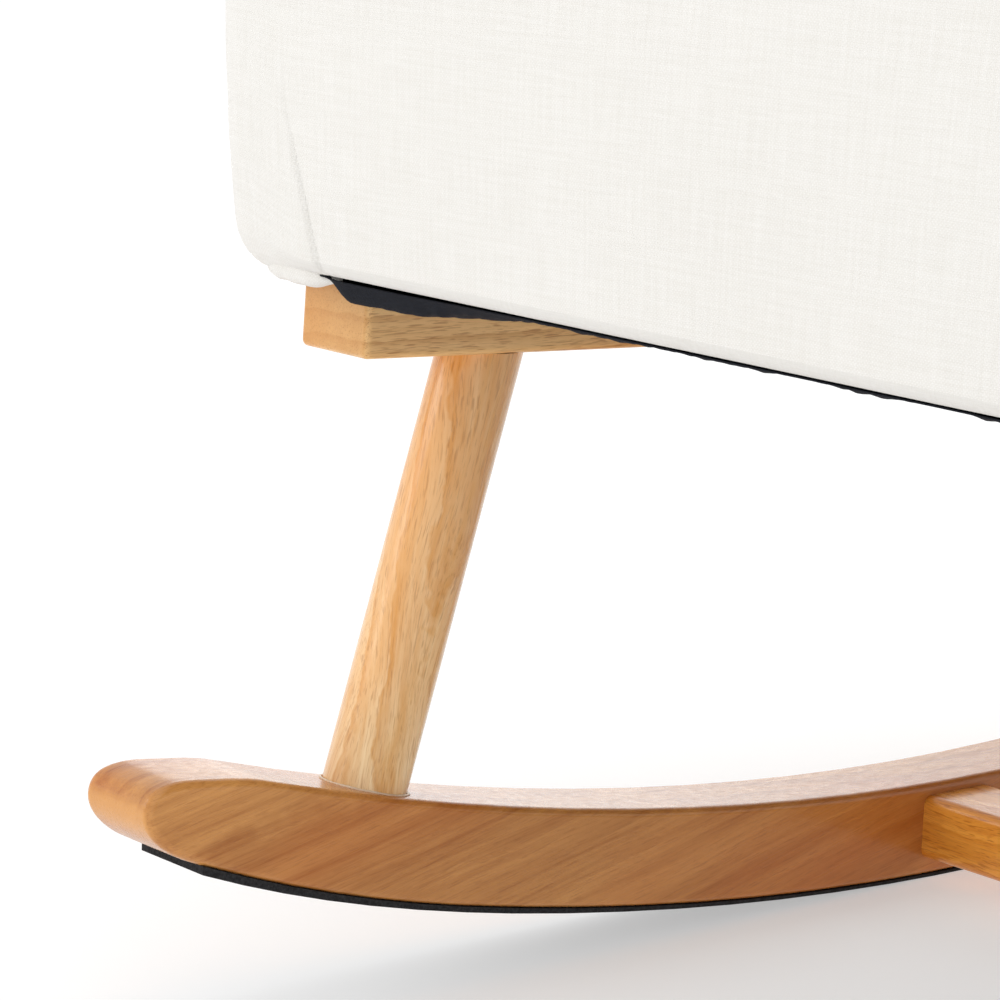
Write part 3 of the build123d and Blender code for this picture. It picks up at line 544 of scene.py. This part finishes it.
def ripple(point, size, seed=0.0):
    """Smooth unevenness of stretched cloth, about -1 to 1."""
    return noise.noise(Vector(point) / size + Vector((seed, seed * 1.7, 0)))


def smooth_step(x, low, high):
    t = min(1.0, max(0.0, (x - low) / (high - low)))
    return t * t * (3 - 2 * t)


# --- the upholstered band round the base ------------------------------------------
CORNER_RADIUS = 0.026
PLEAT_X = (0.243, 0.259)      # where the corner's pleat meets the lower edge, and its top
PLEAT_TOP = 0.055


def band_plan():
    """Points round the base at its lower edge: (x, v, outward x, outward v)."""
    half, r = BASE_HALF, CORNER_RADIUS
    corners = ((half - r, BASE_FRONT + r, -90), (half - r, BASE_BACK - r, 0),
               (-half + r, BASE_BACK - r, 90), (-half + r, BASE_FRONT + r, 180))
    plan = []
    steps = 16
    for x, v, start in corners:
        for k in range(steps + 1):
            a = math.radians(start + 90 * k / steps)
            plan.append((x + r * math.cos(a), v + r * math.sin(a), math.cos(a), math.sin(a)))
    out = []
    for here, ahead in zip(plan, plan[1:] + plan[:1]):
        length = math.hypot(ahead[0] - here[0], ahead[1] - here[1])
        if length > 0.3 and here[1] < 0 and ahead[1] < 0:
            stops = [-0.270, -0.236, 0.236, 0.270]
            gaps = (0.002, 0.0008, 0.005, 0.0008, 0.002)
            edges = [here[0], *(s if here[0] < 0 else -s for s in stops), ahead[0]]
            for a, b, gap in zip(edges, edges[1:], gaps):
                parts = max(1, round(abs(b - a) / gap))
                out += [(a + (b - a) * k / parts, here[1], 0.0, -1.0) for k in range(parts)]
        else:
            parts = max(1, round(length / 0.008))
            out += [tuple(a + (b - a) * k / parts for a, b in zip(here, ahead)) for k in range(parts)]
    return out


def cornered(x, v):
    """How near a point of the base's outline is to one of its corners, 0 to 1."""
    ends = 1 - smooth_step(min(v - BASE_FRONT, BASE_BACK - v), 0.020, 0.070)
    return smooth_step(abs(x), 0.250, 0.288) * ends


def pleat(x, v, w):
    """How far the cloth stands out beside the folded pleat on each side of the front."""
    if v > BASE_FRONT + 0.02:
        return 0.0
    line = PLEAT_X[0] + (PLEAT_X[1] - PLEAT_X[0]) * min(1.0, max(0.0, w / PLEAT_TOP))
    across = abs(x) - line
    fade = 1 - smooth_step(w, PLEAT_TOP * 0.35, PLEAT_TOP * 1.5)
    step = smooth_step(across, -0.0012, 0.0012) * (1 - smooth_step(across, 0.004, 0.035))
    crease = math.exp(-((across + 0.0008) / 0.0009) ** 2)
    return fade * (0.0007 * step - 0.0011 * crease)


def band_ring(plan, turn, rise, inset, w, out):
    """One level of the band. Below, its rim rolls under by turn, more so at the corners; rise is
    the share of the way up from the rim. Above, it is drawn in by inset."""
    ring = []
    for x, v, nx, nv in plan:
        corner = cornered(x, v)
        rim = 0.0045 + 0.0095 * corner
        if w is None:
            level = rim * (1 - math.cos(turn)) + rise * (BASE_HEIGHT - BAND_EDGE - rim)
            inset = rim * (1 - math.sin(turn))
            level -= 0.0032 * corner * (1 - smooth_step(level, 0.0, 0.022))
        else:
            level = w
        ring.append(ring_point(x, v, nx, nv, inset, level, out))
    return ring


def ring_point(x, v, nx, nv, inset, w, out):
    """A point of the band's skin at height w, pushed out by its filling."""
    grow = 1 + max(0.0, w) * math.tan(SIDE_LEAN) / BASE_HALF
    push = 0.0022 * math.sin(math.pi * min(1, max(0, w / BASE_HEIGHT))) ** 0.7
    push += 0.0007 * ripple((x, v, w), 0.07) + 0.0003 * ripple((x, v, w), 0.018, 4.0)
    push = out * (push + pleat(x, v, w)) - inset
    return SEAT @ Vector(((x + nx * push) * grow, v + nv * push, w))


def make_band():
    plan = band_plan()
    levels = [(0, 0, 0.040, 0.0012, 0.0), (0, 0, 0.026, 0.0010, 0.0), (0, 0, 0.018, 0.0004, 0.0)]
    for k in range(0, 8):
        levels.append((math.pi / 2 * k / 7, 0, 0, None, 0.3 + 0.7 * k / 7))
    for k in range(1, 42):
        levels.append((math.pi / 2, k / 41, 0, None, 1.0))
    top = BASE_HEIGHT - BAND_EDGE
    for k in range(1, 7):
        a = math.pi / 2 * k / 6
        drawn_in = BAND_EDGE * (1 - math.cos(a))
        levels.append((0, 0, drawn_in, top + BAND_EDGE * math.sin(a), 1 - 0.8 * k / 6))
    rings = [band_ring(plan, *level) for level in levels]
    middle = SEAT @ Vector((0, (BASE_FRONT + BASE_BACK) / 2, BASE_HEIGHT))
    rim = rings[-1]
    rings += [[p.lerp(middle, share) for p in rim] for share in (0.1, 0.25, 0.5, 0.75, 0.97)]
    band = loft("base_band", rings, ivory, "chair", caps=(False, True))
    lay_flat(band, SEAT, BASE_HEIGHT - 0.002)
    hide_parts("base_cover", "border_padding", "deck_foam")


make_band()


def make_tuck(name, side):
    """The roll of spare cloth folded under a front corner."""
    path = [(0.2935, 0.004), (0.2905, -0.0035), (0.284, -0.0090), (0.275, -0.0125),
            (0.265, -0.0142), (0.255, -0.0148), (0.247, -0.0142), (0.241, -0.0130)]
    curve = [Vector((side * x, v, -0.0016)) for x, v in path]
    points = []
    for i in range(len(curve) - 1):
        points += [SEAT @ curve[i].lerp(curve[i + 1], k / 5) for k in range(5)]
    points.append(SEAT @ curve[-1])

    def thick(share):
        body = smooth_step(share, -0.02, 0.42) * (1 - smooth_step(share, 0.72, 1.0))
        return 0.0007 + 0.0033 * body + 0.0004 * noise.noise(Vector((share * 9, side, 0)))

    rings = tube_rings(points, thick, False, 14)
    tuck = loft("corner_tuck_" + name, rings, ivory, "chair", caps=(True, True))


make_tuck("left", -1)
make_tuck("right", 1)


# --- dust cover beneath ----------------------------------------------------------
DUST_HALF = 0.3015


def inside_corner(x, v):
    """Draws a point of the dust cover in from the base's rounded corners."""
    away = min(v - BASE_FRONT, BASE_BACK - v)
    least = 0.0035 + 0.018 * smooth_step(abs(x), 0.247, 0.266)
    if away < least:
        v += (least - away) * (1 if v < 0.3 else -1)
    narrow = 0.010 * (1 - smooth_step(away, 0.020, 0.060))
    return math.copysign(min(abs(x), DUST_HALF - narrow), x), v


def make_dust_cover():
    """Black spun cloth stapled under the frame, hanging in a belly between the rails."""
    half, front, rear = DUST_HALF, -0.0175, 0.6055
    columns, rows = 300, 130
    bm = bmesh.new()
    layer = bm.loops.layers.uv.new("UVMap")
    grid = []
    for j in range(rows + 1):
        v = front + (rear - front) * (j / rows) ** 1.8
        row = []
        for i in range(columns + 1):
            x = half * (2 * i / columns - 1)
            ahead = 1 - smooth_step(v, -0.0045, -0.0015)
            away = RAIL_INNER - 0.0020 + 0.0050 * ahead - abs(x)
            sag = 0.0
            if away > 0:
                pouch = (1 - (1 - min(1.0, away / 0.014)) ** 3) * (1 - smooth_step(away, 0.022, 0.115))
                pouch *= 1 - smooth_step(v, front + 0.05, front + 0.22)
                belly = smooth_step(away, 0.0, 0.06)
                lip = smooth_step(v, front - 0.001, front + 0.0045)
                tail = 1 - smooth_step(v, rear - 0.03, rear)
                far = smooth_step(v, front + 0.06, front + 0.25)
                crease = 0.0012 * ripple((x, v, 0), 0.030)
                crease += 0.0007 * ripple((x * 3, v * 0.7, 0), 0.012, 3)
                sag = lip * tail * (0.0074 * pouch + belly * (0.0012 + 0.0045 * far + crease))
                sag += lip * 0.0008 * pouch * ripple((x, v * 0.6, 0), 0.009, 5)
            x, v_in = inside_corner(x, v)
            row.append(bm.verts.new(SEAT @ Vector((x, v_in, -0.0006 - sag))))
        grid.append(row)
    for j in range(rows):
        for i in range(columns):
            near, beyond = grid[j], grid[j + 1]
            face = bm.faces.new((near[i], near[i + 1], beyond[i + 1], beyond[i]))
            for loop in face.loops:
                loop[layer].uv = (loop.vert.co.x, loop.vert.co.y)
    cover = finish_mesh("dust_cloth", bm, black_cloth, "chair")
    use_modifier(cover, "SOLIDIFY", thickness=0.0005, offset=0)
    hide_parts("dust_cover")


make_dust_cover()


# --- loose seat cushion ----------------------------------------------------------
CUSHION_HALF = ARM_INNER - 0.0035
CUSHION_LOW = BASE_HEIGHT + 0.002


def cushion_shape(at):
    """Leans the cushion's rear to match the back."""
    rise = (at.z - CUSHION_LOW) * math.tan(BACK_LEAN)
    at.y += rise * smooth_step(at.y, 0.25, 0.45)
    return at


def cushion_outline():
    front, rear = BASE_FRONT + 0.006, CUSHION_REAR - 0.004
    return rounded([(-CUSHION_HALF, front, 0.026), (CUSHION_HALF, front, 0.026),
                    (CUSHION_HALF, rear, 0.022), (-CUSHION_HALF, rear, 0.022)])


def make_cushion():
    outline = cushion_outline()
    low, high = CUSHION_LOW, CUSHION_TOP - 0.012
    seams = (low + 0.006, high - 0.004)

    def held(p):
        near = min(abs(p.z - s) for s in seams)
        side = max(abs(p.x) - (CUSHION_HALF - 0.012), (BASE_FRONT + 0.018) - p.y,
                   p.y - (CUSHION_REAR - 0.018))
        if p.z < low + 0.004:
            return 1.0
        return 0.96 if near < 0.005 and side > 0 else 0.0

    pad = block("seat_cushion", outline, (low, high), SEAT, ivory, "cushion", 0.008, cushion_shape)
    plump(pad, held, 4.0, 0.018, SEAT, voxel=0.005)
    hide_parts("cushion_cover", "cushion_foam")
    for label, w in (("lower", seams[0]), ("upper", seams[1])):
        wider = [(p.x * 1.006, (p.y - 0.23) * 1.007 + 0.23) for p in outline]
        path = [SEAT @ cushion_shape(Vector((x, v, w))) for x, v in wider]
        piping("cushion_welt_" + label, path, "cushion")


make_cushion()


# --- arms ------------------------------------------------------------------------
def back_plane(w, t):
    """How far back, in the seat's frame, a plane of the back lies at height w."""
    return BACK_V + math.tan(BACK_LEAN) * (w - BACK_W) + t / math.cos(BACK_LEAN)


def make_arm(name, side):
    low = BASE_HEIGHT + 0.001
    corners = [(ARM_INNER, low, 0.004), (ARM_OUTER, low, 0.004),
               (ARM_OUTER + ARM_FLARE, ARM_TOP - 0.003, 0.033),
               (ARM_INNER + 0.003, ARM_TOP - 0.003, 0.033)]
    outline = rounded(corners)
    rear = 0.50

    def reshape(at):
        """Mirrors the arm to its side and ends it against the leaning back."""
        share = (at.z - ARM_FRONT) / (rear - ARM_FRONT)
        at.z = ARM_FRONT + share * (back_plane(at.y, BACK_FRONT_T) + 0.006 - ARM_FRONT)
        at.x *= side
        return at

    def held(p):
        if p.z < low + 0.006 or p.y > back_plane(p.z, BACK_FRONT_T) - 0.004:
            return 1.0
        rim = abs(p.y - (ARM_FRONT + 0.006)) < 0.006
        inside = ARM_INNER + 0.010 < abs(p.x) < ARM_OUTER - 0.010 and p.z < ARM_TOP - 0.016
        return 0.96 if rim and not inside else 0.0

    arm = block("arm_" + name, outline, (ARM_FRONT, rear), SEAT @ SWAP, ivory, "chair", 0.007, reshape)
    plump(arm, held, 2.6, 0.006, SEAT)
    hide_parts("arm_cover_" + name, "arm_foam_" + name)
    middle = Vector(((ARM_INNER + ARM_OUTER) / 2, (low + ARM_TOP) / 2))
    path = []
    for p in outline:
        q = middle + (p - middle) * 1.004
        path.append(SEAT @ Vector((side * q.x, ARM_FRONT + 0.0045, q.y)))
    piping("arm_welt_" + name, path, "chair")


make_arm("left", -1)
make_arm("right", 1)


# --- back ------------------------------------------------------------------------
def back_outline():
    low = (BASE_HEIGHT - BACK_W) / math.cos(BACK_LEAN) - 0.012
    top = BACK_HEIGHT - 0.002
    return rounded([(-BACK_HALF_LOW, low, 0.004), (BACK_HALF_LOW, low, 0.004),
                    (BACK_HALF_TOP, top, BACK_CORNER), (-BACK_HALF_TOP, top, BACK_CORNER)])


def make_back():
    outline = back_outline()
    seam_front, seam_rear = BACK_FRONT_T + 0.012, BACK_REAR_T - 0.007
    low = outline[0].y

    def reshape(at):
        """Stands the back on the base's top face, which it leans over."""
        if at.y < low + 0.05:
            rise = max(0.0, (at.z - BACK_FRONT_T) * math.tan(BACK_LEAN))
            at.y += rise * (1 - (at.y - low) / 0.05)
        return at

    def held(p):
        taper = BACK_HALF_TOP - BACK_HALF_LOW
        edge_x = BACK_HALF_LOW + taper * (p.z - 0.05) / (BACK_HEIGHT - 0.05)
        side = max(abs(p.x) - (edge_x - 0.014), p.z - (BACK_HEIGHT - 0.016))
        corner = Vector((abs(p.x) - (BACK_HALF_TOP - BACK_CORNER),
                         p.z - (BACK_HEIGHT - BACK_CORNER)))
        if corner.x > 0 and corner.y > 0:
            side = corner.length - BACK_CORNER + 0.014
        if p.z < 0.11 or p.y > BACK_REAR_T - 0.003:
            return 1.0
        near = min(abs(p.y - seam_front), abs(p.y - seam_rear))
        return 0.96 if near < 0.006 and side > 0 else 0.0

    pad = block("back_pad", outline, (BACK_FRONT_T + 0.004, BACK_REAR_T), BACK @ SWAP, ivory,
                "chair", 0.010, reshape)
    plump(pad, held, 3.0, 0.016, BACK)
    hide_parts("back_cover", "back_foam")
    for label, t in (("front", seam_front - 0.004), ("rear", seam_rear + 0.003)):
        centre = Vector((0, 0.38))
        path = [BACK @ reshape_back(centre + (p - centre) * 1.003, t, low) for p in outline]
        piping("back_welt_" + label, path, "chair")


def reshape_back(p, t, low):
    """A point of the back's outline at depth t, its foot raised onto the base."""
    if p.y >= low + 0.05:
        return Vector((p.x, t, p.y))
    rise = max(0.0, (t - BACK_FRONT_T) * math.tan(BACK_LEAN)) * (1 - (p.y - low) / 0.05)
    return Vector((p.x, t, p.y + rise))


make_back()


# --- beads of lacquer where the legs stand on the rockers -------------------------
def rocker_top(y):
    return ROCKER_ARC_TOP - math.sqrt(ROCKER_TOP_RADIUS ** 2 - y * y)


def make_bead(name, side, leg_y):
    """A thin uneven bead of lacquer round a leg's foot."""
    foot = Vector((side * LEG_FOOT_X, leg_y[0], rocker_top(leg_y[0])))
    head = Vector((side * LEG_HEAD_X, leg_y[1], foot.z + 0.2))
    along = (head - foot).normalized()
    points = []
    count = 72
    for k in range(count):
        a = 2 * math.pi * k / count
        level = Vector((math.cos(a), math.sin(a), 0))
        flat = level - along * level.dot(along)
        reach = (LEG_RADIUS + 0.0002) / flat.length
        spot = foot + level * reach
        spot.z = rocker_top(spot.y) + 0.0002
        points.append(spot)

    def thick(share):
        a = 2 * math.pi * share
        return 0.0005 + 0.0004 * noise.noise(Vector((3 * math.cos(a), 3 * math.sin(a), side + leg_y[0])))

    rings = tube_rings(points, thick, True, 8)
    rings.append(rings[0])
    loft("foot_bead_" + name, rings, bead_lacquer, "chair")


for place, leg_y in (("front", FRONT_LEG_Y), ("rear", REAR_LEG_Y)):
    for name, side in (("left", -1), ("right", 1)):
        make_bead(place + "_" + name, side, leg_y)


# --- studio ----------------------------------------------------------------------
def make_studio():
    bpy.ops.mesh.primitive_plane_add(size=14, location=(0, 0, 0))
    floor = bpy.context.object
    floor.name = "studio_floor"
    made, tree, shader = material("studio_floor", roughness=0.9)
    shader.inputs["Specular IOR Level"].default_value = 0.1
    shader.inputs["Emission Color"].default_value = (1, 1, 1, 1)
    shader.inputs["Emission Strength"].default_value = 0.42
    tone = noise_at(tree, object_coords(tree), 1.5, 2.0)
    feed(tree, shader, base_color=mix(tree, tone, (0.60, 0.60, 0.60), (0.63, 0.63, 0.63)))
    floor.data.materials.append(made)
    world = bpy.data.worlds.new("studio")
    bpy.context.scene.world = world
    world.use_nodes = True
    world.node_tree.nodes["Background"].inputs[0].default_value = (1.0, 1.0, 1.0, 1)
    world.node_tree.nodes["Background"].inputs[1].default_value = 1.0
    lamps = (("key", (-2.0, -2.7, 1.5), 1.6, 17), ("fill", (2.6, -1.6, 2.0), 2.0, 3),
             ("top", (0.2, 0.4, 3.4), 3.0, 10), ("rear", (-2.7, 2.4, 0.9), 2.0, 11))
    for label, place, size, power in lamps:
        light = bpy.data.lights.new(label, "AREA")
        light.energy = power
        light.size = size
        lamp = bpy.data.objects.new(label, light)
        lamp.location = place
        lamp.visible_camera = False
        aim = Vector((0, 0, 0.25)) - Vector(place)
        lamp.rotation_euler = aim.to_track_quat("-Z", "Y").to_euler()
        bpy.context.scene.collection.objects.link(lamp)
    bpy.context.scene.view_settings.view_transform = "Standard"


make_studio()


# --- camera ----------------------------------------------------------------------
def make_camera():
    turn, pitch, roll = math.radians(49.73), math.radians(10.94), math.radians(-2.32)
    right = Vector((math.cos(turn), math.sin(turn), 0))
    ahead = Vector((-math.sin(turn) * math.cos(pitch), math.cos(turn) * math.cos(pitch),
                    -math.sin(pitch)))
    down = ahead.cross(right)
    x_axis = right * math.cos(roll) + down * math.sin(roll)
    y_axis = right * math.sin(roll) - down * math.cos(roll)
    data = bpy.data.cameras.new("camera")
    data.lens = 144
    data.sensor_width = 36
    data.clip_end = 60
    camera = bpy.data.objects.new("camera", data)
    basis = Matrix((x_axis, y_axis, -ahead)).transposed().to_4x4()
    camera.matrix_world = Matrix.Translation((0.8363, -1.1730, 0.4506)) @ basis
    bpy.context.scene.collection.objects.link(camera)
    bpy.context.scene.camera = camera


make_camera()
